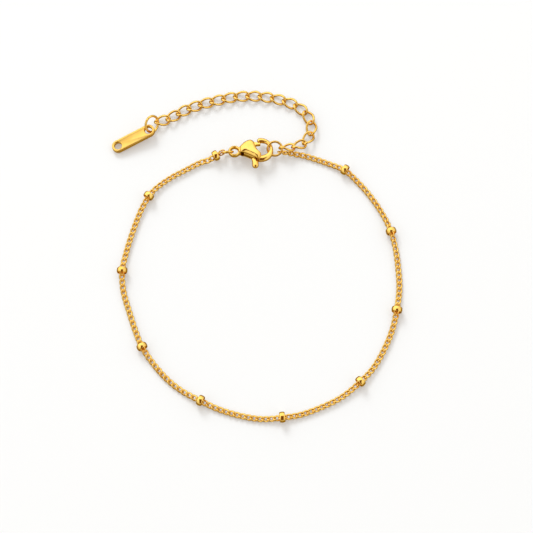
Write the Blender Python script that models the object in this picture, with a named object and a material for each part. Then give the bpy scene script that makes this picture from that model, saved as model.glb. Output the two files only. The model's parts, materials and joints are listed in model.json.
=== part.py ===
"""Satellite bracelet, closed and lying on a flat surface: a fine curb chain with ten rondelle beads,
a lobster clasp, and an extender chain with a small tag. Metres, +Z up, the floor at z = 0, the origin
at the middle of the bracelet's box on the floor."""

import math

import bmesh
import bpy
import numpy as np
from mathutils import Matrix, Vector

MM = 0.001

# The fine chain, its end links and the beads on it
CHAIN_WIDTH = 1.1 * MM
CHAIN_SPANS = 7
END_LINK_LENGTH = 1.32 * MM
END_LINK_WIDTH = 1.15 * MM
END_LINK_WIRE = 0.28 * MM
BEAD_DIAMETER = 2.1 * MM
BEAD_LENGTH = 1.05 * MM
BEAD_PLAY = 0.11 * MM
BEAD_SAG = 2.6 * MM

# The extender chain. Its links gather towards the tag by this share of its length at the middle
LINK_LENGTH = 3.5 * MM
LINK_WIDTH = 2.32 * MM
LINK_WIRE = 0.42 * MM
LINK_TWIST = math.radians(46)
LAST_LINK_ROLL = math.radians(40)
ROLL_FADE = 0.55
LINK_FULLNESS = 2.25
LINK_GATHERING = 0.012

# The jump rings, by their outer diameter and wire. The tag ring's centre lies off the tag's hole by
# these shares of the ring's middle radius, in x and y
CLASP_RING = 2.6 * MM
CLASP_RING_WIRE = 0.42 * MM
CLASP_RING_PULL = 1.44 * MM
CLASP_RING_LEAN = math.radians(20)
JUNCTION_RING = 3.28 * MM
JUNCTION_RING_WIRE = 0.42 * MM
JUNCTION_RING_TILT = math.radians(36)
JUNCTION_RING_LAP = 0.72225 * MM
TAG_RING = 3.7 * MM
TAG_RING_WIRE = 0.45 * MM
TAG_RING_TILT = math.radians(55)
TAG_RING_TURN = math.radians(-33)
TAG_RING_SHIFT = (0.40, 0.85)

# Where on its ring each chain hangs, as an angle round the ring
CHAIN_START_ANGLE = math.radians(190)
CHAIN_END_ANGLE = math.radians(-31)
EXTENDER_START_ANGLE = math.radians(56)
EXTENDER_END_ANGLE = math.radians(8)

# The tag
TAG_LENGTH = 9.3 * MM
TAG_WIDTH = 2.5 * MM
TAG_THICKNESS = 0.95 * MM
TAG_HOLE = 1.5 * MM
TAG_EDGE = 0.16 * MM
TAG_RISE = 0.82 * MM
TAG_AT = (-21.4 * MM, 25.6 * MM)
TAG_TURN = math.radians(27.2)

# The clasp, in its own frame: u from the eye towards the hook, v across it, w up
CLASP_AT = (-4.18 * MM, 21.0 * MM)
CLASP_TURN = math.radians(4.5)
CLASP_ROLL = math.radians(-8)
CLASP_REACH = 7.45 * MM
CLASP_WIDTH = 4.6 * MM
CLASP_THICKNESS = 2.8 * MM
EYE_DIAMETER = 2.5 * MM
EYE_BAR = 0.56 * MM
EYE_HEIGHT = 1.05 * MM
NECK_WIDTH = 1.5 * MM
NECK_HEIGHT = 1.6 * MM
NECK_SQUARENESS = 3.5
HOOK_LENGTH = 4.2 * MM
HOOK_WIDTH = 4.2 * MM
HOOK_BAR = 1.0 * MM
HOOK_START = math.radians(-112)
HOOK_END = math.radians(91)
LEVER_THICKNESS = 0.8 * MM
LEVER_PLAY = 0.25 * MM
NUB_WIDTH = 1.32 * MM
NUB_HEIGHT = 1.1 * MM
PIN_DIAMETER = 0.56 * MM
PIN_LENGTH = 1.9 * MM
PIN_PLAY = 0.05 * MM
END_PLAY = 0.1 * MM
LINK_PLAY = 0.12 * MM
FLOOR_PLAY = 0.02 * MM

# How finely the round forms are made, and the edges that stay sharp when shaded
BEAD_SIDES = 16
WIRE_SIDES = 6
LINK_STEPS = 16
RING_STEPS = 24
ARM_SIDES = 12
TIP_STEPS = 3
HOOK_STEPS = 15
NECK_STEPS = 3
NUB_SAMPLES = 3
BODY_SAMPLES = 2
ROUTE_SAMPLES = 12
PIN_SIDES = 12
HOLE_SIDES = 16
TAG_END_STEPS = 12
SHARP_ANGLE = math.radians(40)
WIRE_SHARP_ANGLE = math.radians(70)

# The gold's colour, and the roughness of each finish
GOLD = (0.86, 0.56, 0.20)
FINISHES = {
    "clasp": 0.14,
    "lever": 0.20,
    "links": 0.16,
    "chain": 0.18,
    "beads": 0.12,
    "tag": 0.28,
}

# The fine chain's route in mm, from the clasp round to the junction ring: x, y, whether a bead sits there
CHAIN_ROUTE = (
    (-7.9, 20.3, 1),
    (-9.2, 19.5, 0),
    (-10.8, 19.1, 0),
    (-13.8, 17.5, 0),
    (-16.8, 15.8, 0),
    (-19.7, 13.5, 0),
    (-21.1, 11.7, 1),
    (-22.6, 8.8, 0),
    (-24.1, 4.4, 0),
    (-25.2, 0.4, 0),
    (-26.0, -4.0, 1),
    (-25.7, -8.0, 0),
    (-24.4, -12.5, 0),
    (-23.0, -16.7, 0),
    (-21.8, -19.6, 1),
    (-19.8, -22.6, 0),
    (-17.0, -25.9, 0),
    (-14.1, -28.3, 0),
    (-10.4, -30.4, 1),
    (-6.9, -32.0, 0),
    (-3.0, -33.2, 0),
    (1.1, -33.9, 0),
    (5.2, -33.7, 1),
    (8.9, -33.0, 0),
    (13.3, -31.3, 0),
    (16.7, -29.5, 0),
    (20.2, -26.6, 1),
    (22.8, -23.7, 0),
    (25.2, -19.4, 0),
    (26.6, -15.9, 0),
    (27.5, -12.1, 1),
    (28.1, -7.7, 0),
    (28.0, -3.7, 0),
    (27.5, 0.9, 0),
    (26.7, 4.2, 1),
    (25.3, 7.7, 0),
    (22.7, 12.0, 0),
    (20.7, 14.5, 0),
    (17.8, 17.3, 1),
    (14.9, 18.7, 0),
    (11.7, 19.9, 0),
    (9.3, 20.6, 0),
)

# The extender's route in mm, from the tag ring to the junction ring: x, y, lift above lying flat
EXTENDER_ROUTE = (
    (-16.7, 28.75, 0.0),
    (-14.8, 30.2, 0.0),
    (-12.7, 31.05, 0.0),
    (-10.5, 31.85, 0.0),
    (-8.0, 32.5, 0.0),
    (-5.5, 33.15, 0.0),
    (-3.1, 33.5, 0.0),
    (-0.5, 33.55, 0.0),
    (1.9, 33.4, 0.0),
    (4.4, 32.9, 0.0),
    (7.0, 32.05, 0.0),
    (9.2, 30.75, 0.0),
    (10.9, 28.75, 0.01),
    (11.4, 26.2, 0.03),
    (10.3, 23.55, 0.15),
    (8.25, 22.25, 0.65),
)

# Outlines in the clasp's frame: u as a share of CLASP_REACH, v as a share of half CLASP_WIDTH
BODY_OUTLINE = (
    (0.148, -0.240),
    (0.235, -0.330),
    (0.325, -0.480),
    (0.420, -0.670),
    (0.520, -0.860),
    (0.631, -1.030),
    (0.690, -0.820),
    (0.702, -0.550),
    (0.655, -0.360),
    (0.612, -0.120),
    (0.580, 0.120),
    (0.562, 0.360),
    (0.543, 0.600),
    (0.503, 0.790),
    (0.443, 0.885),
    (0.375, 0.850),
    (0.300, 0.740),
    (0.220, 0.530),
    (0.148, 0.250),
)
SLOT_OUTLINE = (
    (0.155, -0.044),
    (0.235, 0.217),
    (0.330, 0.478),
    (0.430, 0.674),
    (0.500, 0.840),
    (0.656, 0.800),
    (0.656, -0.304),
    (0.632, -0.478),
    (0.632, -1.500),
    (0.107, -1.500),
    (0.155, -0.435),
)
LEVER_OUTLINE = (
    (0.700, 0.430),
    (0.700, 0.640),
    (0.650, 0.655),
    (0.600, 0.735),
    (0.530, 0.750),
    (0.470, 0.610),
    (0.389, 0.326),
    (0.310, 0.043),
    (0.250, -0.160),
    (0.250, -0.325),
    (0.325, -0.460),
    (0.420, -0.650),
    (0.520, -0.840),
    (0.612, -0.980),
    (0.612, -0.609),
    (0.585, -0.391),
    (0.550, -0.043),
    (0.530, 0.220),
    (0.560, 0.370),
    (0.610, 0.415),
)
PIN_SHARE = (0.443, 0.174)
BODY_CENTRE_SHARE = (0.430, 0.043)
NECK_SHARES = (0.120, 0.225)
HOOK_CENTRE_SHARE = (0.705, 0.0)
NUB_PATH = ((0.520, -0.840), (0.528, -1.150), (0.528, -1.520))

# How the body domes: share of the outline, share of half the thickness
DOME = (
    (1.00, 0.42),
    (0.97, 0.64),
    (0.88, 0.83),
    (0.70, 0.95),
    (0.40, 0.99),
)

# How the hook and the nub swell: share of the way, width and height as shares of their named sizes
HOOK_SWELL = (
    (0.00, 1.40, 1.30),
    (0.25, 1.34, 1.24),
    (0.39, 1.09, 1.06),
    (0.55, 0.70, 0.76),
    (0.66, 0.70, 0.76),
    (0.85, 0.95, 0.98),
    (0.95, 1.10, 1.00),
    (1.00, 1.10, 1.00),
)
NUB_SWELL = (
    (0.00, 1.00, 0.68),
    (0.50, 0.92, 0.82),
    (1.00, 1.00, 1.00),
)

# A bead's half section: share of half its length, share of the wall from bore to rim
BEAD_SECTION = (
    (-0.72, 0.00),
    (-1.00, 0.26),
    (-0.93, 0.58),
    (-0.68, 0.84),
    (-0.26, 0.98),
    (0.26, 0.98),
    (0.68, 0.84),
    (0.93, 0.58),
    (1.00, 0.26),
    (0.72, 0.00),
)


def clear_scene():
    for item in list(bpy.data.objects):
        bpy.data.objects.remove(item, do_unlink=True)


def gold_finish(name, roughness):
    material = bpy.data.materials.new(f"{name} gold")
    material.use_nodes = True
    shader = material.node_tree.nodes["Principled BSDF"]
    shader.inputs["Base Color"].default_value = (*GOLD, 1.0)
    shader.inputs["Metallic"].default_value = 1.0
    shader.inputs["Roughness"].default_value = roughness
    return material


def add_object(name, mesh, material, matrix=None, parent=None):
    item = bpy.data.objects.new(name, mesh)
    bpy.context.scene.collection.objects.link(item)
    if parent is not None:
        item.parent = parent
    if matrix is not None:
        item.matrix_local = matrix
    if material is not None:
        mesh.materials.append(material)
    return item


def mesh_of(name, form, angle=SHARP_ANGLE):
    """The bmesh as a mesh with outward faces, shaded smooth except over sharp edges."""
    bmesh.ops.recalc_face_normals(form, faces=form.faces)
    mesh = bpy.data.meshes.new(name)
    form.to_mesh(mesh)
    form.free()
    mesh.shade_smooth()
    mesh.set_sharp_from_angle(angle=angle)
    return mesh


def bridge(form, ring, following):
    count = len(ring)
    for i in range(count):
        j = (i + 1) % count
        form.faces.new((ring[i], ring[j], following[j], following[i]))


def smooth_curve(points, samples):
    """A centripetal Catmull-Rom curve through the points, as a close row of points."""
    first = points[0] * 2 - points[1]
    last = points[-1] * 2 - points[-2]
    rows = [first, *points, last]
    curve = []
    for p0, p1, p2, p3 in zip(rows, rows[1:], rows[2:], rows[3:]):
        t1 = (p1 - p0).length ** 0.5
        t2 = t1 + (p2 - p1).length ** 0.5
        t3 = t2 + (p3 - p2).length ** 0.5
        for k in range(samples):
            t = t1 + (t2 - t1) * k / samples
            a1 = p0 * ((t1 - t) / t1) + p1 * (t / t1)
            a2 = p1 * ((t2 - t) / (t2 - t1)) + p2 * ((t - t1) / (t2 - t1))
            a3 = p2 * ((t3 - t) / (t3 - t2)) + p3 * ((t - t2) / (t3 - t2))
            b1 = a1 * ((t2 - t) / t2) + a2 * (t / t2)
            b2 = a2 * ((t3 - t) / (t3 - t1)) + a3 * ((t - t1) / (t3 - t1))
            curve.append(b1 * ((t2 - t) / (t2 - t1)) + b2 * ((t - t1) / (t2 - t1)))
    curve.append(points[-1].copy())
    return curve


def distances_along(curve):
    steps = [(b - a).length for a, b in zip(curve, curve[1:])]
    return np.concatenate([[0.0], np.cumsum(steps)])


def point_at(curve, along, distance):
    return Vector([float(np.interp(distance, along, [p[k] for p in curve])) for k in range(3)])


def frame_from(origin, forward, across):
    """A matrix whose X runs forward and whose Y lies in the plane of forward and across."""
    x = forward.normalized()
    z = x.cross(across).normalized()
    y = z.cross(x)
    return Matrix.Translation(origin) @ Matrix((x, y, z)).transposed().to_4x4()


def loop_point(a, b, twist, fullness, t):
    """A point of a twisted oval's middle line and the oval's normal there. Fullness 2 is an ellipse."""
    along = math.copysign(abs(math.cos(t)) ** (2 / fullness), math.cos(t))
    aside = math.copysign(abs(math.sin(t)) ** (2 / fullness), math.sin(t))
    turn = twist * along
    across = Vector((0, math.cos(turn), math.sin(turn)))
    normal = Vector((0, -math.sin(turn), math.cos(turn)))
    return Vector((a * along, 0, 0)) + across * (b * aside), normal


def wire_loop(name, length, width, wire, twist=0.0, fullness=2.0, steps=LINK_STEPS, height=None):
    """A closed oval of wire, its outer length along X and outer width along Y. Its ends are turned
    about X by twist, one each way. height is the section's size across the oval's plane."""
    a = (length - wire) / 2
    b = (width - wire) / 2
    nudge = 0.01
    form = bmesh.new()
    rings = []
    for i in range(steps):
        t = math.tau * (i + 0.5) / steps
        centre, normal = loop_point(a, b, twist, fullness, t)
        after, _ = loop_point(a, b, twist, fullness, t + nudge)
        before, _ = loop_point(a, b, twist, fullness, t - nudge)
        slope = after - before
        outward = slope.cross(normal).normalized()
        upward = outward.cross(slope).normalized()
        ring = []
        for k in range(WIRE_SIDES):
            angle = math.tau * (k + 0.5) / WIRE_SIDES
            side = outward * (math.cos(angle) * wire / 2)
            rise = upward * (math.sin(angle) * (height or wire) / 2)
            ring.append(form.verts.new(centre + side + rise))
        rings.append(ring)
    for i in range(steps):
        bridge(form, rings[i], rings[(i + 1) % steps])
    return mesh_of(name, form, WIRE_SHARP_ANGLE)


def arm(name, path, widths, heights, square=2.0):
    """A bar swept along a path in the plane of X and Y, its far end rounded and its near end flat.
    Its section is an ellipse at square 2, and squarer above that."""
    slopes = [(path[min(i + 1, len(path) - 1)] - path[max(i - 1, 0)]).normalized() for i in range(len(path))]
    rows = [(p, s, w / 2, h / 2) for p, s, w, h in zip(path, slopes, widths, heights)]
    tip, slope, half_width, half_height = rows[-1]
    for k in range(1, TIP_STEPS):
        angle = math.pi / 2 * k / TIP_STEPS
        centre = tip + slope * (half_width * math.sin(angle))
        rows.append((centre, slope, half_width * math.cos(angle), half_height * math.cos(angle)))
    form = bmesh.new()
    rings = []
    for centre, slope, half_width, half_height in rows:
        aside = Vector((-slope.y, slope.x, 0))
        ring = []
        for k in range(ARM_SIDES):
            angle = math.tau * (k + 0.5) / ARM_SIDES
            c = math.copysign(abs(math.cos(angle)) ** (2 / square), math.cos(angle))
            s = math.copysign(abs(math.sin(angle)) ** (2 / square), math.sin(angle))
            ring.append(form.verts.new(centre + aside * (c * half_width) + Vector((0, 0, s * half_height))))
        rings.append(ring)
    for ring, following in zip(rings, rings[1:]):
        bridge(form, ring, following)
    form.faces.new(rings[0])
    end = form.verts.new(tip + slope * (widths[-1] / 2))
    for k in range(ARM_SIDES):
        form.faces.new((rings[-1][k], rings[-1][(k + 1) % ARM_SIDES], end))
    return mesh_of(name, form)


def plate(name, outline, height):
    """An outline in the plane of X and Y drawn out to a plate, half above and half below it."""
    form = bmesh.new()
    low = [form.verts.new((x, y, -height / 2)) for x, y in outline]
    high = [form.verts.new((x, y, height / 2)) for x, y in outline]
    bridge(form, low, high)
    form.faces.new(low)
    form.faces.new(high)
    return mesh_of(name, form)


def rod(name, diameter, length, sides=PIN_SIDES):
    form = bmesh.new()
    bmesh.ops.create_cone(
        form, cap_ends=True, segments=sides, radius1=diameter / 2, radius2=diameter / 2, depth=length
    )
    return mesh_of(name, form)


def helper(name, mesh, matrix=None, parent=None):
    """A form that is only added to or cut from another object."""
    item = add_object(name, mesh, None, matrix, parent)
    item.hide_render = True
    item.display_type = "WIRE"
    return item


def combine(item, other, operation):
    modifier = item.modifiers.new(other.name, "BOOLEAN")
    modifier.operation = operation
    modifier.solver = "EXACT"
    modifier.object = other


def in_clasp(share):
    return Vector((share[0] * CLASP_REACH, share[1] * CLASP_WIDTH / 2, 0))


def outline_of(shares, samples=0):
    points = [in_clasp(share) for share in shares]
    if samples:
        around = smooth_curve([points[-1], *points, points[0]], samples)
        points = around[samples:-1]
    return [(p.x, p.y) for p in points]


def clasp_frame():
    """The clasp lies rolled on its domed side, so its frame stands up by the dome's reach below it."""
    tip = CLASP_WIDTH / 2 * abs(math.sin(CLASP_ROLL))
    crown = CLASP_THICKNESS / 2 * math.cos(CLASP_ROLL)
    lying = max(share * tip + rise * crown for share, rise in DOME)
    place = Matrix.Translation((*CLASP_AT, lying + FLOOR_PLAY))
    return place @ Matrix.Rotation(CLASP_TURN, 4, "Z") @ Matrix.Rotation(CLASP_ROLL, 4, "X")


def domed_body(name):
    outline = [Vector((x, y, 0)) for x, y in outline_of(BODY_OUTLINE, BODY_SAMPLES)]
    centre = in_clasp(BODY_CENTRE_SHARE)
    form = bmesh.new()
    rings = []
    levels = [(share, -rise) for share, rise in reversed(DOME)] + list(DOME)
    for share, rise in levels:
        lift = Vector((0, 0, rise * CLASP_THICKNESS / 2))
        rings.append([form.verts.new(centre + (p - centre) * share + lift) for p in outline])
    for ring, following in zip(rings, rings[1:]):
        bridge(form, ring, following)
    for ring, side in ((rings[0], -1), (rings[-1], 1)):
        crown = form.verts.new(centre + Vector((0, 0, side * CLASP_THICKNESS / 2)))
        for i in range(len(ring)):
            form.faces.new((ring[i], ring[(i + 1) % len(ring)], crown))
    return mesh_of(name, form)


def swollen(path, swell, width, height):
    shares = [i / (len(path) - 1) for i in range(len(path))]
    widths = np.interp(shares, [r[0] for r in swell], [r[1] * width for r in swell])
    heights = np.interp(shares, [r[0] for r in swell], [r[2] * height for r in swell])
    return [float(w) for w in widths], [float(h) for h in heights]


def hook_form(name):
    centre = in_clasp(HOOK_CENTRE_SHARE)
    path = []
    for i in range(HOOK_STEPS):
        angle = HOOK_START + (HOOK_END - HOOK_START) * i / (HOOK_STEPS - 1)
        reach = Vector((HOOK_LENGTH / 2 * math.cos(angle), HOOK_WIDTH / 2 * math.sin(angle), 0))
        path.append(centre + reach)
    widths, heights = swollen(path, HOOK_SWELL, HOOK_BAR, HOOK_BAR)
    return arm(name, path, widths, heights)


def pin_bore(name, parent, matrix):
    bore = rod(name, PIN_DIAMETER + 2 * PIN_PLAY, PIN_LENGTH + 2 * PIN_PLAY)
    return helper(name, bore, matrix, parent)


def make_clasp_body(frame, material):
    body = add_object("clasp_body", domed_body("clasp_body"), material, parent=frame)
    neck_path = [in_clasp((share, 0)) for share in np.linspace(*NECK_SHARES, NECK_STEPS)]
    widths, heights = [NECK_WIDTH] * NECK_STEPS, [NECK_HEIGHT] * NECK_STEPS
    neck = arm("neck_form", neck_path, widths, heights, NECK_SQUARENESS)
    eye = wire_loop("eye_form", EYE_DIAMETER, EYE_DIAMETER, EYE_BAR, steps=RING_STEPS, height=EYE_HEIGHT)
    combine(body, helper("neck_form", neck, parent=frame), "UNION")
    combine(body, helper("eye_form", eye, parent=frame), "UNION")
    combine(body, helper("hook_form", hook_form("hook_form"), parent=frame), "UNION")
    slot = plate("slot_cutter", outline_of(SLOT_OUTLINE), LEVER_THICKNESS + 2 * LEVER_PLAY)
    combine(body, helper("slot_cutter", slot, parent=frame), "DIFFERENCE")
    pin_place = Matrix.Translation(in_clasp(PIN_SHARE))
    combine(body, pin_bore("body_bore", frame, pin_place), "DIFFERENCE")


def make_clasp_lever(frame, material):
    """The lever's origin is on its pin's axis."""
    pivot = in_clasp(PIN_SHARE)
    outline = [(x - pivot.x, y - pivot.y) for x, y in outline_of(LEVER_OUTLINE)]
    place = Matrix.Translation(pivot)
    lever = add_object("clasp_lever", plate("clasp_lever", outline, LEVER_THICKNESS), material, place, frame)
    path = smooth_curve([in_clasp(share) - pivot for share in NUB_PATH], NUB_SAMPLES)
    widths, heights = swollen(path, NUB_SWELL, NUB_WIDTH, NUB_HEIGHT)
    nub = helper("nub_form", arm("nub_form", path, widths, heights), parent=lever)
    combine(lever, nub, "UNION")
    combine(lever, pin_bore("lever_bore", lever, Matrix()), "DIFFERENCE")
    add_object("clasp_pin", rod("clasp_pin", PIN_DIAMETER, PIN_LENGTH), material, place, frame)


def ring_place(centre, low_side, down):
    """A ring's frame: X towards its low side, tipped down by that angle, and Y level."""
    return Matrix.Translation(centre) @ Matrix.Rotation(low_side, 4, "Z") @ Matrix.Rotation(down, 4, "Y")


def on_ring(place, diameter, wire, angle):
    """The wire's middle at this angle round the ring, and the wire's direction there."""
    radius = (diameter - wire) / 2
    point = place @ Vector((radius * math.cos(angle), radius * math.sin(angle), 0))
    direction = place.to_3x3() @ Vector((-math.sin(angle), math.cos(angle), 0))
    return point, direction


def make_ring(name, place, diameter, wire, material):
    mesh = wire_loop(name, diameter, diameter, wire, steps=RING_STEPS)
    add_object(name, mesh, material, place)


def make_end_link(name, point, wire_way, wire, towards, material):
    """The fine chain's last link, threaded on a ring's wire. Returns where the chain goes on."""
    forward = (towards - point).normalized()
    tip = point - forward * ((wire + END_LINK_WIRE) / 2 + LINK_PLAY)
    centre = tip + forward * (END_LINK_LENGTH - END_LINK_WIRE) / 2
    mesh = wire_loop(name, END_LINK_LENGTH, END_LINK_WIDTH, END_LINK_WIRE, fullness=LINK_FULLNESS)
    add_object(name, mesh, material, frame_from(centre, forward, wire_way.cross(forward)))
    return centre + forward * (END_LINK_LENGTH / 2 + END_PLAY)


def chain_curve(start, end):
    """The fine chain's middle line. It rises to the beads, which lie on the floor, and to its ends."""
    rest = CHAIN_WIDTH / 2 + FLOOR_PLAY
    beads_up = BEAD_DIAMETER / 2 + FLOOR_PLAY
    flat = [Vector((start.x, start.y, 0))]
    flat += [Vector((x * MM, y * MM, 0)) for x, y, _ in CHAIN_ROUTE]
    flat.append(Vector((end.x, end.y, 0)))
    curve = smooth_curve(flat, ROUTE_SAMPLES)
    along = distances_along(curve)
    bead_indices = [ROUTE_SAMPLES * (i + 1) for i, row in enumerate(CHAIN_ROUTE) if row[2]]
    held = [(0.0, start.z)] + [(along[i], beads_up) for i in bead_indices] + [(along[-1], end.z)]
    for point, s in zip(curve, along):
        lifts = [(z - rest) * math.exp(-(((s - at) / BEAD_SAG) ** 2)) for at, z in held]
        point.z = rest + max(lifts)
    return curve, distances_along(curve), bead_indices


def make_chain(curve, along, bead_indices, material):
    """The fine chain's outer form, a tube along the middle line with a point at every bead."""
    stops = [0.0] + [float(along[i]) for i in bead_indices] + [float(along[-1])]
    usual = (stops[-2] - stops[1]) / (len(bead_indices) - 1) / CHAIN_SPANS
    places = [0.0]
    for a, b in zip(stops, stops[1:]):
        count = max(1, round((b - a) / usual))
        places += [a + (b - a) * (k + 1) / count for k in range(count)]
    data = bpy.data.curves.new("curb_chain", "CURVE")
    data.dimensions = "3D"
    data.bevel_depth = CHAIN_WIDTH / 2
    data.bevel_resolution = 2
    data.use_fill_caps = True
    spline = data.splines.new("POLY")
    spline.points.add(len(places) - 1)
    for point, place in zip(spline.points, places):
        point.co = (*point_at(curve, along, place), 1.0)
    add_object("curb_chain", data, material)


def bead_mesh(name):
    bore = CHAIN_WIDTH / 2 + BEAD_PLAY
    wall = BEAD_DIAMETER / 2 - bore
    form = bmesh.new()
    section = [form.verts.new((x * BEAD_LENGTH / 2, 0, bore + wall * rise)) for x, rise in BEAD_SECTION]
    edges = [form.edges.new((section[i], section[(i + 1) % len(section)])) for i in range(len(section))]
    bmesh.ops.spin(
        form,
        geom=section + edges,
        cent=(0, 0, 0),
        axis=(1, 0, 0),
        angle=math.tau,
        steps=BEAD_SIDES,
        use_merge=True,
        use_duplicate=False,
    )
    bmesh.ops.remove_doubles(form, verts=form.verts, dist=0.001 * MM)
    return mesh_of(name, form, WIRE_SHARP_ANGLE)


def make_beads(curve, bead_indices, material):
    mesh = bead_mesh("bead")
    mesh.materials.append(material)
    for number, index in enumerate(bead_indices, 1):
        forward = curve[index + 1] - curve[index - 1]
        level = Vector((0, 0, 1)).cross(forward)
        add_object(f"bead_{number:02d}", mesh, None, frame_from(curve[index], forward, level))


def link_half_height():
    """How far a twisted link reaches above its middle plane."""
    half = (LINK_WIDTH - LINK_WIRE) / 2
    middle = [loop_point(0.0, half, LINK_TWIST, LINK_FULLNESS, math.radians(k))[0].z for k in range(1, 90)]
    return max(middle) + LINK_WIRE / 2


def crossing_roll(place, wire_way):
    """How far a link at this place rolls for its near end to lie squarely across that wire."""
    square = wire_way.cross(place.col[0].xyz)
    roll = math.atan2(square @ place.col[2].xyz, square @ place.col[1].xyz)
    return (roll + LINK_TWIST + math.pi / 2) % math.pi - math.pi / 2


def make_extender(start, start_way, end, material):
    """Twisted curb links, each through the next, between the tag ring's wire and the junction ring's.
    The first crosses the tag ring's wire squarely, and the last is rolled where it hangs."""
    rest = link_half_height() + FLOOR_PLAY
    points = [Vector((x * MM, y * MM, z * MM + rest)) for x, y, z in EXTENDER_ROUTE]
    first = start - (points[0] - start).normalized() * (TAG_RING_WIRE + LINK_PLAY) / 2
    last = end - (points[-1] - end).normalized() * (JUNCTION_RING_WIRE + LINK_PLAY) / 2
    points = [first, *points, last]
    curve = smooth_curve(points, ROUTE_SAMPLES)
    along = distances_along(curve)
    pitch = LINK_LENGTH - 2 * LINK_WIRE - LINK_PLAY
    count = math.ceil(along[-1] / pitch)
    joints = []
    for k in range(count + 1):
        share = k / count - LINK_GATHERING * math.sin(math.pi * k / count)
        joints.append(point_at(curve, along, along[-1] * share))
    places = []
    for a, b in zip(joints, joints[1:]):
        level = Vector((0, 0, 1)).cross(b - a)
        places.append(frame_from((a + b) / 2, b - a, level))
    first_roll = crossing_roll(places[0], start_way)
    mesh = wire_loop("extender_link", LINK_LENGTH, LINK_WIDTH, LINK_WIRE, LINK_TWIST, LINK_FULLNESS)
    mesh.materials.append(material)
    for k, place in enumerate(places):
        roll = LAST_LINK_ROLL * ROLL_FADE ** (count - 1 - k) + first_roll * ROLL_FADE**k
        add_object(f"extender_link_{k + 1:02d}", mesh, None, place @ Matrix.Rotation(roll, 4, "X"))


def tag_place():
    """The tag's frame, at the ring's hole, X out along the tag. That end rides up on the ring."""
    pitch = math.asin(TAG_RISE / (TAG_LENGTH - TAG_WIDTH / 2))
    centre = Vector((*TAG_AT, TAG_THICKNESS / 2 + TAG_RISE + FLOOR_PLAY))
    return Matrix.Translation(centre) @ Matrix.Rotation(TAG_TURN, 4, "Z") @ Matrix.Rotation(-pitch, 4, "Y")


def tag_ring_place():
    """The tag ring stands tipped on the floor and passes down through the tag's hole."""
    radius = (TAG_RING - TAG_RING_WIRE) / 2
    x, y = (at + share * radius for at, share in zip(TAG_AT, TAG_RING_SHIFT))
    up = radius * math.sin(TAG_RING_TILT) + TAG_RING_WIRE / 2 + FLOOR_PLAY
    return ring_place(Vector((x, y, up)), TAG_RING_TURN, TAG_RING_TILT)


def make_tag(place, material):
    half = TAG_WIDTH / 2
    spacing = TAG_LENGTH - TAG_WIDTH
    outline = []
    for middle, begin in ((0.0, -math.pi / 2), (-spacing, math.pi / 2)):
        for k in range(TAG_END_STEPS + 1):
            angle = begin + math.pi * k / TAG_END_STEPS
            outline.append((middle + half * math.cos(angle), half * math.sin(angle)))
    tag = add_object("tag", plate("tag", outline, TAG_THICKNESS), material, place)
    edge = tag.modifiers.new("soft edges", "BEVEL")
    edge.width = TAG_EDGE
    edge.segments = 2
    edge.limit_method = "ANGLE"
    edge.angle_limit = WIRE_SHARP_ANGLE
    for number, x in enumerate((0.0, -spacing), 1):
        name = f"tag_hole_{number}"
        hole = rod(name, TAG_HOLE, 2 * TAG_THICKNESS, HOLE_SIDES)
        combine(tag, helper(name, hole, Matrix.Translation((x, 0, 0)), tag), "DIFFERENCE")


def main():
    clear_scene()
    gold = {name: gold_finish(name, roughness) for name, roughness in FINISHES.items()}

    clasp = bpy.data.objects.new("clasp", None)
    bpy.context.scene.collection.objects.link(clasp)
    clasp.matrix_world = clasp_frame()
    make_clasp_body(clasp, gold["clasp"])
    make_clasp_lever(clasp, gold["lever"])

    eye_side = clasp_frame() @ Vector((-CLASP_RING_PULL, 0, 0))
    upright = Matrix.Rotation(CLASP_TURN, 4, "Z") @ Matrix.Rotation(math.pi / 2 + CLASP_RING_LEAN, 4, "X")
    clasp_ring = Matrix.Translation(eye_side) @ upright
    make_ring("clasp_ring", clasp_ring, CLASP_RING, CLASP_RING_WIRE, gold["links"])

    junction_radius = (JUNCTION_RING - JUNCTION_RING_WIRE) / 2
    hook_reach = in_clasp(HOOK_CENTRE_SHARE).x + HOOK_LENGTH / 2
    reach = hook_reach - JUNCTION_RING_LAP + junction_radius
    junction = Matrix.Translation(clasp_frame() @ Vector((reach, 0, 0)))
    junction = junction @ Matrix.Rotation(JUNCTION_RING_TILT, 4, "X")
    make_ring("junction_ring", junction, JUNCTION_RING, JUNCTION_RING_WIRE, gold["links"])

    make_tag(tag_place(), gold["tag"])
    tag_ring = tag_ring_place()
    make_ring("tag_ring", tag_ring, TAG_RING, TAG_RING_WIRE, gold["links"])

    point, way = on_ring(clasp_ring, CLASP_RING, CLASP_RING_WIRE, CHAIN_START_ANGLE)
    first = Vector((CHAIN_ROUTE[0][0] * MM, CHAIN_ROUTE[0][1] * MM, BEAD_DIAMETER / 2))
    start = make_end_link("chain_end_link_clasp", point, way, CLASP_RING_WIRE, first, gold["links"])
    point, way = on_ring(junction, JUNCTION_RING, JUNCTION_RING_WIRE, CHAIN_END_ANGLE)
    last = Vector((CHAIN_ROUTE[-1][0] * MM, CHAIN_ROUTE[-1][1] * MM, CHAIN_WIDTH / 2))
    end = make_end_link("chain_end_link_ring", point, way, JUNCTION_RING_WIRE, last, gold["links"])
    curve, along, bead_indices = chain_curve(start, end)
    make_chain(curve, along, bead_indices, gold["chain"])
    make_beads(curve, bead_indices, gold["beads"])

    start, start_way = on_ring(tag_ring, TAG_RING, TAG_RING_WIRE, EXTENDER_START_ANGLE)
    end, _ = on_ring(junction, JUNCTION_RING, JUNCTION_RING_WIRE, EXTENDER_END_ANGLE)
    make_extender(start, start_way, end, gold["links"])


main()
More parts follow.
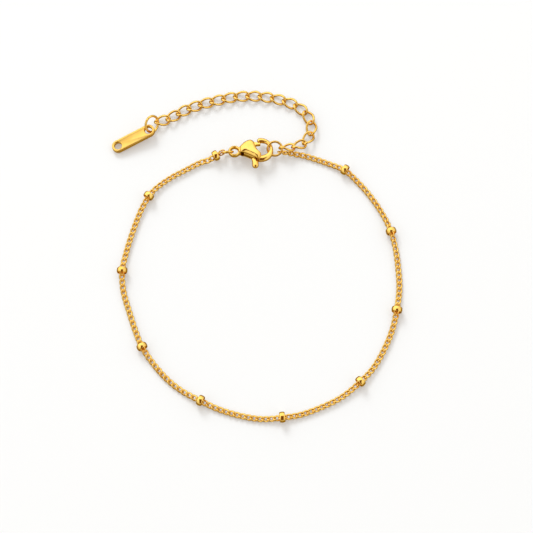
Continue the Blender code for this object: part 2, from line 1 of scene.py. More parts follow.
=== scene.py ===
"""The looks of a gold-coloured satellite bracelet lying fastened on a pale surface: its fine twisted curb
chain link by link, turned rondelle beads, a cast lobster clasp, jump rings, an extender of open curb links
and a plain tag. Forms are modelled in millimetres and scaled to metres at the end."""

import json
import math

import bmesh
import bpy
import numpy as np
from mathutils import Matrix, Vector


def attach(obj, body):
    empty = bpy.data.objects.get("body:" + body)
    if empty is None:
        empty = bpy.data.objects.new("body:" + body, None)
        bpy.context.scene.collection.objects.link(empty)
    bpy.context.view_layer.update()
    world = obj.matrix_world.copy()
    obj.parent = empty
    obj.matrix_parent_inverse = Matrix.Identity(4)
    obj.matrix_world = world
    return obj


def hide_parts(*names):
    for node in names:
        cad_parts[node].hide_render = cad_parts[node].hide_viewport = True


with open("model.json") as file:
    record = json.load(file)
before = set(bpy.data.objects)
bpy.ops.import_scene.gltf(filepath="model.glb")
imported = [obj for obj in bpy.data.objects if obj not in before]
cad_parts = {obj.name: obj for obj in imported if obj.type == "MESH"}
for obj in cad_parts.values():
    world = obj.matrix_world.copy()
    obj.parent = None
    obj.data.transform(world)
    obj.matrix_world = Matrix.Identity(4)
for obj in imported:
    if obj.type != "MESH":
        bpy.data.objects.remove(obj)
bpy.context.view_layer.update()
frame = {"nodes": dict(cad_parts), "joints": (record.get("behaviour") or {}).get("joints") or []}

MM = 0.001
BRACELET = "bracelet"
LEVER = "lever"

# The photograph's view. One of its pixels is this wide at the target, and it is this many pixels wide
PIXEL_MM = 0.196
IMAGE_PIXELS = 533
SENSOR_MM = 36.0
CAMERA_TARGET_MM = Vector((2.2, -2.8, 0.0))
CAMERA_DISTANCE_MM = 400.0
CAMERA_ELEVATION = math.radians(70)
CAMERA_CLIP = (0.01, 50)

# The room's light, which the metal mirrors. Directions point away from the bracelet, and each pair is where
# a change begins and ends, as the cosine of an angle or a part of a direction. DARK is the photographer, and
# BELOW what lies under the horizon
WINDOW_DIRECTION = (-0.45, 0.62, 0.64)
WINDOW_SPREAD = (0.35, 0.97)
WINDOW_COLOUR = (1.6, 1.6, 1.58)
ROOM_LOW = (0.88, 0.86, 0.82)
ROOM_HIGH = (1.16, 1.16, 1.14)
ROOM_RISE = (0.0, 0.75)
ROOM_STRENGTH = 1.0
BELOW_COLOUR = (0.34, 0.24, 0.03)
BELOW_SPREAD = (0.02, -0.30)
DARK_COLOUR = (0.18, 0.08, 0.02)
DARK_WIDTH = (0.52, 0.30)
DARK_BACK = (0.28, 0.10)
DARK_FOOT = (0.08, 0.22)

# The light that draws the shadows, and the floor that they fall on
KEY_DIRECTION = (-0.34, 0.85, 0.66)
KEY_DISTANCE = 2.0
KEY_SIZE = 0.8
KEY_ENERGY = 25.0
KEY_COLOUR = (1.0, 1.0, 1.0)
FLOOR_HALF = 4.0
FLOOR_COLOUR = (0.50, 0.525, 0.547)
FLOOR_GLOW_COLOUR = (1.06, 1.0, 0.93)
FLOOR_GLOW = 0.31
FLOOR_ROUGHNESS = 0.8
FLOOR_SPECULAR = 0.2

# The gold. Its tone runs from deep to warm, and a finish is its roughness and how much rubbing marks show
WARM_GOLD = (0.95, 0.64, 0.17)
DEEP_GOLD = (0.90, 0.55, 0.12)
FINISHES = {
    "polished gold": (0.16, 0.25),
    "lever gold": (0.18, 0.25),
    "wire gold": (0.14, 0.25),
    "chain gold": (0.15, 0.25),
    "bead gold": (0.10, 0.25),
    "tag gold": (0.30, 0.50),
}
TONE_SCALE = 420.0
TONE_DETAIL = 3.0
TONE_SPREAD = (0.3, 0.7)
RUB_SCALE = 5200.0
RUB_DETAIL = 4.0
RUB_DEPTH = 0.000004
GLOSS_SPREAD = (0.75, 1.35)

# The fine chain, in mm. It lies on the route of the tube that it replaces, where 1 marks a bead. A bead
# lifts it over the length CHAIN_SAG. Each link keeps the share CHAIN_ROLL_FADE of the turn that the link
# before it takes from the chain's end
CHAIN_WIDTH = 1.25
CHAIN_WIRE = 0.38
CHAIN_PITCH = 1.1
CHAIN_PLAY = 0.03
CHAIN_TWIST = math.radians(46)
CHAIN_FULLNESS = 2.2
CHAIN_SAG = 2.6
CHAIN_ROLL_FADE = 0.72
FLOOR_PLAY = 0.02
CHAIN_ROUTE = (
    (-7.9, 20.3, 1),
    (-9.2, 19.5, 0),
    (-10.8, 19.1, 0),
    (-13.8, 17.5, 0),
    (-16.8, 15.8, 0),
    (-19.7, 13.5, 0),
    (-21.1, 11.7, 1),
    (-22.6, 8.8, 0),
    (-24.1, 4.4, 0),
    (-25.2, 0.4, 0),
    (-26.0, -4.0, 1),
    (-25.7, -8.0, 0),
    (-24.4, -12.5, 0),
    (-23.0, -16.7, 0),
    (-21.8, -19.6, 1),
    (-19.8, -22.6, 0),
    (-17.0, -25.9, 0),
    (-14.1, -28.3, 0),
    (-10.4, -30.4, 1),
    (-6.9, -32.0, 0),
    (-3.0, -33.2, 0),
    (1.1, -33.9, 0),
    (5.2, -33.7, 1),
    (8.9, -33.0, 0),
    (13.3, -31.3, 0),
    (16.7, -29.5, 0),
    (20.2, -26.6, 1),
    (22.8, -23.7, 0),
    (25.2, -19.4, 0),
    (26.6, -15.9, 0),
    (27.5, -12.1, 1),
    (28.1, -7.7, 0),
    (28.0, -3.7, 0),
    (27.5, 0.9, 0),
    (26.7, 4.2, 1),
    (25.3, 7.7, 0),
    (22.7, 12.0, 0),
    (20.7, 14.5, 0),
    (17.8, 17.3, 1),
    (14.9, 18.7, 0),
    (11.7, 19.9, 0),
    (9.3, 20.6, 0),
)

# How the chain rolls about its own line: the route's row, degrees. ROLL_TABLE is the rolls, in degrees,
# that a link's height is worked out for
CHAIN_ROLLS = (
    (0, 30),
    (4, 18),
    (10, 14),
    (14, 20),
    (17, 32),
    (19, 14),
    (25, -14),
    (30, -10),
    (34, 30),
    (35, 22),
    (36, 4),
    (38, 0),
    (41, 6),
)
ROLL_TABLE = (-90, -60, -30, 0, 30, 60, 90)

# The end links, extender links and rings (diameter, wire), in mm. Their places come from the frame
END_LINK = {"length": 1.66, "width": 1.15, "wire": 0.27, "fullness": 2.25}
EXTENDER_LINK = {"length": 3.5, "width": 2.36, "wire": 0.46, "twist": math.radians(46), "fullness": 2.25}
RINGS = {
    "clasp_ring": (2.62, 0.45),
    "junction_ring": (3.32, 0.47),
    "tag_ring": (3.72, 0.48),
}
RING_CUT_ANGLES = {
    "clasp_ring": math.radians(60),
    "junction_ring": math.radians(118),
    "tag_ring": math.radians(140),
}
RING_CUT = 0.035
RING_EDGE = 0.06

# The closed joint in a link's wire: its place round the link, which alternates along the extender, its
# width in mm, its depth as a share of the wire, and in widths how the rings of points are spaced there
END_LINK_SEAM = math.radians(80)
EXTENDER_SEAMS = (math.radians(96), math.radians(84))
SEAM_WIDTH = 0.06
SEAM_DEPTH = 0.1
SEAM_HALF = 0.5
SEAM_STATIONS = (-1.0, -0.4, 0.0, 0.4, 1.0)
SEAM_CLEARING = 1.6

# The beads, in mm. A lip rounds the bore's rim
BEAD_DIAMETER = 2.1
BEAD_LENGTH = 1.05
BEAD_BORE = 1.56
BEAD_LIP = 0.1
BEAD_LIP_ROUNDNESS = 4.0

# The tag, in mm
TAG_LENGTH = 9.3
TAG_WIDTH = 2.5
TAG_THICKNESS = 0.95
TAG_HOLE = 1.5
TAG_EDGE = 0.17
TAG_EDGE_FROM = math.radians(50)
TAG_SHARP_FROM = math.radians(30)

# The clasp, in mm: u from the eye towards the hook, v across it, w up. Its dome starts at DOME_RIM of half
# the thickness, and its last level is DOME_LEAST of the outline
CLASP_TURN = math.radians(4.5)
CLASP_REACH = 7.45
CLASP_WIDTH = 4.6
CLASP_THICKNESS = 2.8
DOME_RIM = 0.42
DOME_FALL = 0.55
DOME_SWELL = 0.95
DOME_LEAST = 0.02
EYE_DIAMETER = 2.5
EYE_BAR = 0.56
EYE_HEIGHT = 1.05
NECK_WIDTH = 1.5
NECK_HEIGHT = 1.6
NECK_SQUARENESS = 3.5
HOOK_LENGTH = 4.2
HOOK_WIDTH = 4.2
HOOK_BAR = 1.0
HOOK_START = math.radians(-112)
HOOK_END = math.radians(91)
LEVER_THICKNESS = 0.74
LEVER_PLAY = 0.3
LEVER_EDGE = 0.13
LEVER_EDGE_LEVELS = 6
NUB_WIDTH = 1.32
NUB_HEIGHT = 1.1
PIN_DIAMETER = 0.56
PIN_LENGTH = 1.9
PIN_PLAY = 0.05

# Outlines in the clasp's frame: u as a share of CLASP_REACH, v as a share of half CLASP_WIDTH
BODY_OUTLINE = (
    (0.148, -0.240),
    (0.235, -0.330),
    (0.325, -0.480),
    (0.420, -0.670),
    (0.520, -0.860),
    (0.631, -1.030),
    (0.690, -0.820),
    (0.702, -0.550),
    (0.655, -0.360),
    (0.612, -0.120),
    (0.580, 0.120),
    (0.562, 0.360),
    (0.543, 0.600),
    (0.503, 0.790),
    (0.443, 0.885),
    (0.375, 0.850),
    (0.300, 0.740),
    (0.220, 0.530),
    (0.148, 0.250),
)
SLOT_OUTLINE = (
    (0.155, -0.044),
    (0.235, 0.217),
    (0.330, 0.478),
    (0.430, 0.674),
    (0.500, 0.840),
    (0.656, 0.800),
    (0.656, -0.304),
    (0.632, -0.478),
    (0.632, -1.500),
    (0.107, -1.500),
    (0.155, -0.435),
)
LEVER_OUTLINE = (
    (0.700, 0.430),
    (0.700, 0.640),
    (0.650, 0.655),
    (0.600, 0.735),
    (0.530, 0.750),
    (0.470, 0.610),
    (0.389, 0.326),
    (0.310, 0.043),
    (0.250, -0.160),
    (0.250, -0.325),
    (0.325, -0.460),
    (0.420, -0.650),
    (0.520, -0.840),
    (0.612, -0.980),
    (0.612, -0.609),
    (0.585, -0.391),
    (0.550, -0.043),
    (0.530, 0.220),
    (0.560, 0.370),
    (0.610, 0.415),
)
PIN_SHARE = (0.443, 0.174)
BODY_CENTRE_SHARE = (0.430, 0.043)
NECK_SHARES = (0.120, 0.225)
HOOK_CENTRE_SHARE = (0.705, 0.0)
NUB_PATH = ((0.520, -0.840), (0.528, -1.150), (0.528, -1.520))

# How the hook and the nub swell: share of the way, width and height as shares of their named sizes
HOOK_SWELL = (
    (0.00, 1.40, 1.30),
    (0.25, 1.34, 1.24),
    (0.39, 1.09, 1.06),
    (0.55, 0.70, 0.76),
    (0.66, 0.70, 0.76),
    (0.85, 0.95, 0.98),
    (0.95, 1.10, 1.00),
    (1.00, 1.10, 1.00),
)
NUB_SWELL = (
    (0.00, 1.00, 0.68),
    (0.50, 0.92, 0.82),
    (1.00, 1.00, 1.00),
)

# How finely the forms are made
LINK_STEPS = 44
LINK_SIDES = 12
CHAIN_STEPS = 22
CHAIN_SIDES = 8
RING_STEPS = 72
RING_SIDES = 14
BEAD_STEPS = 48
BEAD_PROFILE_STEPS = 22
ARM_SIDES = 28
HOOK_STEPS = 48
TIP_STEPS = 7
DOME_LEVELS = 16
EYE_STEPS = 56
EYE_SIDES = 20
ROD_SIDES = 40
NECK_STEPS = 3
CAST_VOXEL = 0.05
CAST_SMOOTHING = 10
LEVER_SMOOTHING = 10
SMOOTHING_FACTORS = (0.5, -0.52)
ROUTE_SAMPLES = 12
OUTLINE_SAMPLES = 6
LEVER_SAMPLES = 4
SLOT_SAMPLES = 1
TAG_END_STEPS = 40
TAG_EDGE_STEPS = 4
SLOPE_STEP = 0.01

# A mix node's colour sockets, which share their names with its other sockets
MIX_UNDER, MIX_OVER, MIX_RESULT = 6, 7, 2


def in_metres(mesh):
    mesh.transform(Matrix.Scale(MM, 4))
    return mesh


def mesh_from(name, points, faces):
    mesh = bpy.data.meshes.new(name)
    mesh.from_pydata([tuple(p) for p in points], [], [tuple(f) for f in faces])
    mesh.validate()
    return mesh


def add_piece(name, mesh, material, node_names, body=BRACELET):
    """A finished piece in metres, riding on its body in place of the CAD nodes it stands for."""
    mesh.shade_smooth()
    mesh.materials.clear()
    mesh.materials.append(material)
    piece = bpy.data.objects.new(name, mesh)
    bpy.context.scene.collection.objects.link(piece)
    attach(piece, body)
    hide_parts(*node_names)
    return piece


def node_frame(name):
    """A CAD node's middle and its own axes, the longest first, as a matrix in mm."""
    count = len(frame["nodes"][name].data.vertices)
    points = np.empty(count * 3)
    frame["nodes"][name].data.vertices.foreach_get("co", points)
    points = np.unique(points.reshape(-1, 3).round(8), axis=0) / MM
    middle = points.mean(axis=0)
    _, axes = np.linalg.eigh(np.cov((points - middle).T))
    x = Vector(axes[:, 2])
    y = Vector(axes[:, 1])
    z = x.cross(y)
    spans = [(points - middle) @ np.array(axis) for axis in (x, y, z)]
    centre = Vector(middle)
    for axis, span in zip((x, y, z), spans):
        centre += axis * float((span.max() + span.min()) / 2)
    return Matrix.Translation(centre) @ Matrix((x, y, z)).transposed().to_4x4()


def smooth_curve(points, samples):
    """A centripetal Catmull-Rom curve through the points, as a close row of points."""
    first = points[0] * 2 - points[1]
    last = points[-1] * 2 - points[-2]
    rows = [first, *points, last]
    curve = []
    for p0, p1, p2, p3 in zip(rows, rows[1:], rows[2:], rows[3:]):
        t1 = (p1 - p0).length ** 0.5
        t2 = t1 + (p2 - p1).length ** 0.5
        t3 = t2 + (p3 - p2).length ** 0.5
        for k in range(samples):
            t = t1 + (t2 - t1) * k / samples
            a1 = p0 * ((t1 - t) / t1) + p1 * (t / t1)
            a2 = p1 * ((t2 - t) / (t2 - t1)) + p2 * ((t - t1) / (t2 - t1))
            a3 = p2 * ((t3 - t) / (t3 - t2)) + p3 * ((t - t2) / (t3 - t2))
            b1 = a1 * ((t2 - t) / t2) + a2 * (t / t2)
            b2 = a2 * ((t3 - t) / (t3 - t1)) + a3 * ((t - t1) / (t3 - t1))
            curve.append(b1 * ((t2 - t) / (t2 - t1)) + b2 * ((t - t1) / (t2 - t1)))
    curve.append(points[-1].copy())
    return curve


def distances_along(curve):
    steps = [(b - a).length for a, b in zip(curve, curve[1:])]
    return np.concatenate([[0.0], np.cumsum(steps)])


def frame_from(origin, forward, across):
    """A matrix whose X runs forward and whose Y lies in the plane of forward and across."""
    x = forward.normalized()
    z = x.cross(across).normalized()
    y = z.cross(x)
    return Matrix.Translation(origin) @ Matrix((x, y, z)).transposed().to_4x4()


def loop_rings(
    length, width, wire, twist=0.0, fullness=2.0, steps=LINK_STEPS, sides=LINK_SIDES, seam=None
):
    """Rings of points round the wire of a twisted oval, its long way along X. With a seam the wire has
    a fine closed joint at that angle."""
    a = (length - wire) / 2
    b = (width - wire) / 2
    t = math.tau * (np.arange(steps) + 0.5) / steps
    if seam is not None:
        joint = seam + np.array(SEAM_STATIONS) * SEAM_WIDTH / b
        away = np.abs((t - seam + math.pi) % math.tau - math.pi) > SEAM_CLEARING * SEAM_WIDTH / b
        t = np.sort(np.concatenate([t[away], joint % math.tau]))

    def middle(angle):
        along = np.sign(np.cos(angle)) * np.abs(np.cos(angle)) ** (2 / fullness)
        aside = np.sign(np.sin(angle)) * np.abs(np.sin(angle)) ** (2 / fullness)
        turn = twist * along
        points = np.stack([a * along, b * aside * np.cos(turn), b * aside * np.sin(turn)], axis=1)
        normals = np.stack([0 * turn, -np.sin(turn), np.cos(turn)], axis=1)
        return points, normals

    centres, normals = middle(t)
    slopes = middle(t + SLOPE_STEP)[0] - middle(t - SLOPE_STEP)[0]
    outward = np.cross(slopes, normals)
    outward /= np.linalg.norm(outward, axis=1)[:, None]
    upward = np.cross(outward, slopes)
    upward /= np.linalg.norm(upward, axis=1)[:, None]
    radii = np.full(len(t), wire / 2)
    if seam is not None:
        off = np.abs((t - seam + math.pi) % math.tau - math.pi) * b / SEAM_WIDTH
        radii *= 1 - SEAM_DEPTH * np.clip(1 - off / SEAM_HALF, 0, 1)
    angles = math.tau * (np.arange(sides) + 0.5) / sides
    rings = (
        centres[:, None, :]
        + outward[:, None, :] * (np.cos(angles) * radii[:, None])[:, :, None]
        + upward[:, None, :] * (np.sin(angles) * radii[:, None])[:, :, None]
    )
    return rings


def tube_faces(count, sides, closed=True, start=0):
    """The faces between rings of points, and from the last ring back to the first where it is closed."""
    faces = []
    for i in range(count if closed else count - 1):
        this = start + i * sides
        after = start + (i + 1) % count * sides
        for k in range(sides):
            m = (k + 1) % sides
            faces.append((this + k, after + k, after + m, this + m))
    return faces


def capped_faces(count, sides):
    """The faces of a tube with a flat cap on its first ring and its last."""
    ends = [tuple(range(sides)), tuple(range((count - 1) * sides, count * sides))]
    return tube_faces(count, sides, closed=False) + ends


def placed(points, place):
    matrix = np.array(place)
    return points @ matrix[:3, :3].T + matrix[:3, 3]


def on_floor(points):
    """The points, raised where they would dip into the floor."""
    points[:, 2] += max(0.0, FLOOR_PLAY - points[:, 2].min())
    return points


def loop_mesh(name, place, **size):
    rings = loop_rings(**size)
    count, sides, _ = rings.shape
    points = on_floor(placed(rings.reshape(-1, 3), place))
    return in_metres(mesh_from(name, points, tube_faces(count, sides)))


def ring_mesh(name, place, diameter, wire, cut_angle):
    """A jump ring bent from wire, its two flat ends meeting at a hairline cut."""
    radius = (diameter - wire) / 2
    half_cut = RING_CUT / 2 / radius
    edge = RING_EDGE * wire / radius
    sweep = (math.tau - 2 * half_cut) * np.linspace(0, 1, RING_STEPS + 1)
    turns = cut_angle + half_cut + sweep
    turns = np.array([turns[0], turns[0] + edge, *turns[1:-1], turns[-1] - edge, turns[-1]])
    radii = np.full(len(turns), wire / 2)
    radii[0] = radii[-1] = wire / 2 * (1 - RING_EDGE * 2)
    angles = math.tau * (np.arange(RING_SIDES) + 0.5) / RING_SIDES
    out = radius + np.cos(angles) * radii[:, None]
    up = np.sin(angles) * radii[:, None]
    points = np.stack([out * np.cos(turns)[:, None], out * np.sin(turns)[:, None], up], axis=2)
    points = on_floor(placed(points.reshape(-1, 3), place))
    return in_metres(outward_faces(mesh_from(name, points, capped_faces(len(turns), RING_SIDES))))


def outward_faces(mesh):
    form = bmesh.new()
    form.from_mesh(mesh)
    bmesh.ops.recalc_face_normals(form, faces=form.faces)
    form.to_mesh(mesh)
    form.free()
    return mesh


def bead_form(name, place):
    """A turned rondelle, its rim a half oval and its bore straight, along X."""
    turns = math.tau * np.arange(BEAD_STEPS) / BEAD_STEPS
    around = math.tau * (np.arange(BEAD_PROFILE_STEPS) + 0.5) / BEAD_PROFILE_STEPS
    outer = np.sin(around) > 0
    power = np.where(outer, 1.0, 2 / BEAD_LIP_ROUNDNESS)
    height = np.where(outer, (BEAD_DIAMETER - BEAD_BORE) / 2 - BEAD_LIP, BEAD_LIP)
    x = BEAD_LENGTH / 2 * np.sign(np.cos(around)) * np.abs(np.cos(around)) ** power
    r = BEAD_BORE / 2 + BEAD_LIP + height * np.sign(np.sin(around)) * np.abs(np.sin(around)) ** power
    points = np.stack(
        [
            np.broadcast_to(x, (BEAD_STEPS, len(x))),
            r * np.cos(turns)[:, None],
            r * np.sin(turns)[:, None],
        ],
        axis=2,
    ).reshape(-1, 3)
    mesh = mesh_from(name, placed(points, place), tube_faces(BEAD_STEPS, BEAD_PROFILE_STEPS))
    return in_metres(outward_faces(mesh))


def chain_link_length():
    return CHAIN_PITCH + 2 * CHAIN_WIRE + CHAIN_PLAY


def fine_link(steps, sides):
    """The points of one link of the fine chain, ring after ring along its wire."""
    size = {"length": chain_link_length(), "width": CHAIN_WIDTH, "wire": CHAIN_WIRE}
    rings = loop_rings(**size, twist=CHAIN_TWIST, fullness=CHAIN_FULLNESS, steps=steps, sides=sides)
    return rings.reshape(-1, 3)


def link_half_height(roll):
    """How far a fine link reaches below its middle line when rolled by this angle."""
    points = fine_link(LINK_STEPS, LINK_SIDES)
    return float((points[:, 1] * math.sin(roll) + points[:, 2] * math.cos(roll)).max())


def end_of_link(node, towards):
    """Where the fine chain takes over from an end link, and the direction of that link's end wire."""
    place = node_frame(node)
    forward = place.col[0].xyz
    if forward.dot(towards - place.translation) < 0:
        forward = -forward
    reach = END_LINK["length"] / 2 - END_LINK["wire"] - CHAIN_PLAY - CHAIN_WIRE / 2
    return place.translation + forward * reach, place.col[1].xyz


def least_roll(angle):
    """The same roll within a quarter turn, because a link looks alike after half a turn."""
    return (angle + math.pi / 2) % math.pi - math.pi / 2


def crossing_roll(place, wire_way, twist):
    """How far a link at this place rolls for its end to lie squarely across that wire."""
    square = wire_way.cross(place.col[0].xyz)
    roll = math.atan2(square.dot(place.col[2].xyz), square.dot(place.col[1].xyz))
    return least_roll(roll + twist)


def chain_line():
    """The fine chain's middle line from wire to wire of the end links, with the distance and the roll at
    each of its points, and the directions of those two wires."""
    route = [Vector((x, y, 0)) for x, y, _ in CHAIN_ROUTE]
    start, start_way = end_of_link("chain_end_link_clasp", route[0])
    end, end_way = end_of_link("chain_end_link_ring", route[-1])
    flat = [Vector((start.x, start.y, 0)), *route, Vector((end.x, end.y, 0))]
    curve = smooth_curve(flat, ROUTE_SAMPLES)
    along = distances_along(curve)
    at_rows = [along[ROUTE_SAMPLES * (i + 1)] for i in range(len(route))]
    rows, degrees = zip(*CHAIN_ROLLS)
    rolls = np.radians(np.interp(along, [at_rows[row] for row in rows], degrees))
    heights = [link_half_height(math.radians(a)) for a in ROLL_TABLE]
    half_heights = np.interp(rolls, np.radians(ROLL_TABLE), heights)
    rest = half_heights + FLOOR_PLAY
    bead_up = BEAD_DIAMETER / 2 + FLOOR_PLAY - BEAD_BORE / 2
    held = [(0.0, start.z, True)]
    held += [(s, bead_up, False) for s, row in zip(at_rows, CHAIN_ROUTE) if row[2]]
    held += [(along[-1], end.z, True)]
    for i, (point, s) in enumerate(zip(curve, along)):
        low = rest[i]
        lifts = []
        for at, z, at_end in held:
            target = z if at_end else z + half_heights[i]
            lifts.append((target - low) * math.exp(-(((s - at) / CHAIN_SAG) ** 2)))
        point.z = low + max(lifts)
    return curve, distances_along(curve), rolls, start_way, end_way


def make_fine_chain(material):
    """Link after link along the line, each turned as the chain lies and squarely across the end links."""
    curve, along, rolls, start_way, end_way = chain_line()
    reach = (chain_link_length() - CHAIN_WIRE) / 2
    run = along[-1] - 2 * reach
    count = round(run / CHAIN_PITCH) + 1
    pitch = run / (count - 1)
    stations = reach + pitch * np.arange(count)

    def at(distance):
        return Vector([float(np.interp(distance, along, [p[k] for p in curve])) for k in range(3)])

    places = []
    for s in stations:
        forward = at(s + pitch / 2) - at(s - pitch / 2)
        places.append(frame_from(at(s), forward, Vector((0, 0, 1)).cross(forward)))
    natural = np.interp(stations, along, rolls)
    first = least_roll(crossing_roll(places[0], start_way, CHAIN_TWIST) - natural[0])
    last = least_roll(crossing_roll(places[-1], end_way, -CHAIN_TWIST) - natural[-1])
    link = fine_link(CHAIN_STEPS, CHAIN_SIDES)
    points = []
    faces = []
    for k, place in enumerate(places):
        roll = natural[k] + first * CHAIN_ROLL_FADE**k + last * CHAIN_ROLL_FADE ** (count - 1 - k)
        points.append(on_floor(placed(link, place @ Matrix.Rotation(roll, 4, "X"))))
        faces += tube_faces(CHAIN_STEPS, CHAIN_SIDES, start=k * len(link))
    mesh = in_metres(mesh_from("fine_chain", np.concatenate(points), faces))
    add_piece("fine_chain", mesh, material, ["curb_chain"])


def make_beads(material):
    """The turned beads. A bead's shortest axis is its bore, which bead_form has along X."""
    for number in range(1, 1 + sum(row[2] for row in CHAIN_ROUTE)):
        node = f"bead_{number:02d}"
        place = node_frame(node)
        axis_last = place.to_3x3() @ Matrix(((0, 0, 1), (0, 1, 0), (-1, 0, 0)))
        place = Matrix.Translation(place.translation) @ axis_last.to_4x4()
        add_piece(f"{node}_turned", bead_form(node, place), material, [node])


def make_links(material):
    for node in ("chain_end_link_clasp", "chain_end_link_ring"):
        mesh = loop_mesh(node, node_frame(node), seam=END_LINK_SEAM, **END_LINK)
        add_piece(f"{node}_wire", mesh, material, [node])
    extender = sorted(name for name in frame["nodes"] if name.startswith("extender_link"))
    for number, node in enumerate(extender):
        mesh = loop_mesh(node, node_frame(node), seam=EXTENDER_SEAMS[number % 2], **EXTENDER_LINK)
        add_piece(f"{node}_wire", mesh, material, [node])


def make_rings(material):
    for node, (diameter, wire) in RINGS.items():
        mesh = ring_mesh(node, node_frame(node), diameter, wire, RING_CUT_ANGLES[node])
        add_piece(f"{node}_wire", mesh, material, [node])


def temporary(name, mesh):
    item = bpy.data.objects.new(name, mesh)
    bpy.context.scene.collection.objects.link(item)
    return item


def evaluated_mesh(item):
    graph = bpy.context.evaluated_depsgraph_get()
    return bpy.data.meshes.new_from_object(item.evaluated_get(graph))


def combined(base, others):
    """base with each (form, operation) applied in turn, as a new mesh."""
    helpers = []
    item = temporary("base_form", base)
    for form, operation in others:
        helper = temporary("added_form", form)
        helpers.append(helper)
        modifier = item.modifiers.new(operation, "BOOLEAN")
        modifier.operation = operation
        modifier.solver = "EXACT"
        modifier.object = helper
    mesh = evaluated_mesh(item)
    for helper in [item, *helpers]:
        bpy.data.objects.remove(helper)
    return mesh


def cast(mesh, voxel, smoothing):
    """The form as it comes out of a mould and the polishing drum: fused, with softened edges. Each
    smoothing step is followed by one outwards, so that thin parts keep their thickness."""
    item = temporary("cast_form", mesh)
    remesh = item.modifiers.new("fuse", "REMESH")
    remesh.mode = "VOXEL"
    remesh.voxel_size = voxel
    for _ in range(smoothing):
        for factor in SMOOTHING_FACTORS:
            smooth = item.modifiers.new("polish", "SMOOTH")
            smooth.factor = factor
            smooth.iterations = 1
    made = evaluated_mesh(item)
    bpy.data.objects.remove(item)
    return made


def in_clasp(share):
    """The point of the clasp's middle plane that has these shares of its length and half its width."""
    return Vector((share[0] * CLASP_REACH, share[1] * CLASP_WIDTH / 2, 0))


def clasp_place():
    """The clasp's frame in mm, from the lever's joint: w along its axis, u level and turned."""
    joint = frame["joints"][0]
    u = Vector((math.cos(CLASP_TURN), math.sin(CLASP_TURN), 0))
    w = -Vector(joint["axis"]).normalized()
    v = w.cross(u).normalized()
    w = u.cross(v)
    turn = Matrix((u, v, w)).transposed()
    eye = Vector(joint["pos_m"]) / MM - turn @ in_clasp(PIN_SHARE)
    return Matrix.Translation(eye) @ turn.to_4x4()


def arm(name, path, widths, heights, square=2.0):
    """A bar swept along a path in the plane of X and Y, its far end rounded and its near end flat."""
    count = len(path)
    slopes = [(path[min(i + 1, count - 1)] - path[max(i - 1, 0)]).normalized() for i in range(count)]
    rows = [(p, s, w / 2, h / 2) for p, s, w, h in zip(path, slopes, widths, heights)]
    tip, slope, half_width, half_height = rows[-1]
    for k in range(1, TIP_STEPS):
        angle = math.pi / 2 * k / TIP_STEPS
        centre = tip + slope * (half_width * math.sin(angle))
        rows.append((centre, slope, half_width * math.cos(angle), half_height * math.cos(angle)))
    points = []
    for centre, way, half_w, half_h in rows:
        aside = Vector((-way.y, way.x, 0))
        for k in range(ARM_SIDES):
            angle = math.tau * (k + 0.5) / ARM_SIDES
            c = math.copysign(abs(math.cos(angle)) ** (2 / square), math.cos(angle))
            s = math.copysign(abs(math.sin(angle)) ** (2 / square), math.sin(angle))
            points.append(centre + aside * (c * half_w) + Vector((0, 0, s * half_h)))
    faces = tube_faces(len(rows), ARM_SIDES, closed=False)
    faces.append(tuple(range(ARM_SIDES)))
    end = len(points)
    points.append(tip + slope * (widths[-1] / 2))
    first = (len(rows) - 1) * ARM_SIDES
    faces += [(first + k, first + (k + 1) % ARM_SIDES, end) for k in range(ARM_SIDES)]
    return outward_faces(mesh_from(name, points, faces))


def plate(name, outline, height):
    count = len(outline)
    points = [(x, y, z) for z in (-height / 2, height / 2) for x, y in outline]
    faces = [tuple(range(count)), tuple(range(count, 2 * count))]
    faces += [(i, (i + 1) % count, count + (i + 1) % count, count + i) for i in range(count)]
    return outward_faces(mesh_from(name, points, faces))


def rounded_plate(name, outline, height, edge, levels):
    """A plate whose rim is rounded by this radius, above and below."""
    corners = np.array(outline)
    after = np.roll(corners, -1, axis=0)
    ways = after - np.roll(corners, 1, axis=0)
    ways /= np.linalg.norm(ways, axis=1)[:, None]
    turning = np.sum(corners[:, 0] * after[:, 1] - after[:, 0] * corners[:, 1])
    inward = np.stack([-ways[:, 1], ways[:, 0]], axis=1) * np.sign(turning)
    angles = np.linspace(0, math.pi / 2, levels)
    rows = [(edge * (1 - math.cos(a)), height / 2 - edge + edge * math.sin(a)) for a in angles]
    rows = [(inset, -z) for inset, z in reversed(rows)] + rows
    points = []
    for inset, z in rows:
        points += [(x, y, z) for x, y in corners + inward * inset]
    return outward_faces(mesh_from(name, points, capped_faces(len(rows), len(corners))))


def rod(name, diameter, length, at):
    """A round rod along Z with its middle at this point."""
    form = bmesh.new()
    size = {"segments": ROD_SIDES, "radius1": diameter / 2, "radius2": diameter / 2, "depth": length}
    bmesh.ops.create_cone(form, cap_ends=True, matrix=Matrix.Translation(at), **size)
    mesh = bpy.data.meshes.new(name)
    form.to_mesh(mesh)
    form.free()
    return mesh


def rounded_outline(shares, samples):
    points = [in_clasp(share) for share in shares]
    around = smooth_curve([points[-1], *points, points[0]], samples)
    return [(p.x, p.y) for p in around[samples:-1]]


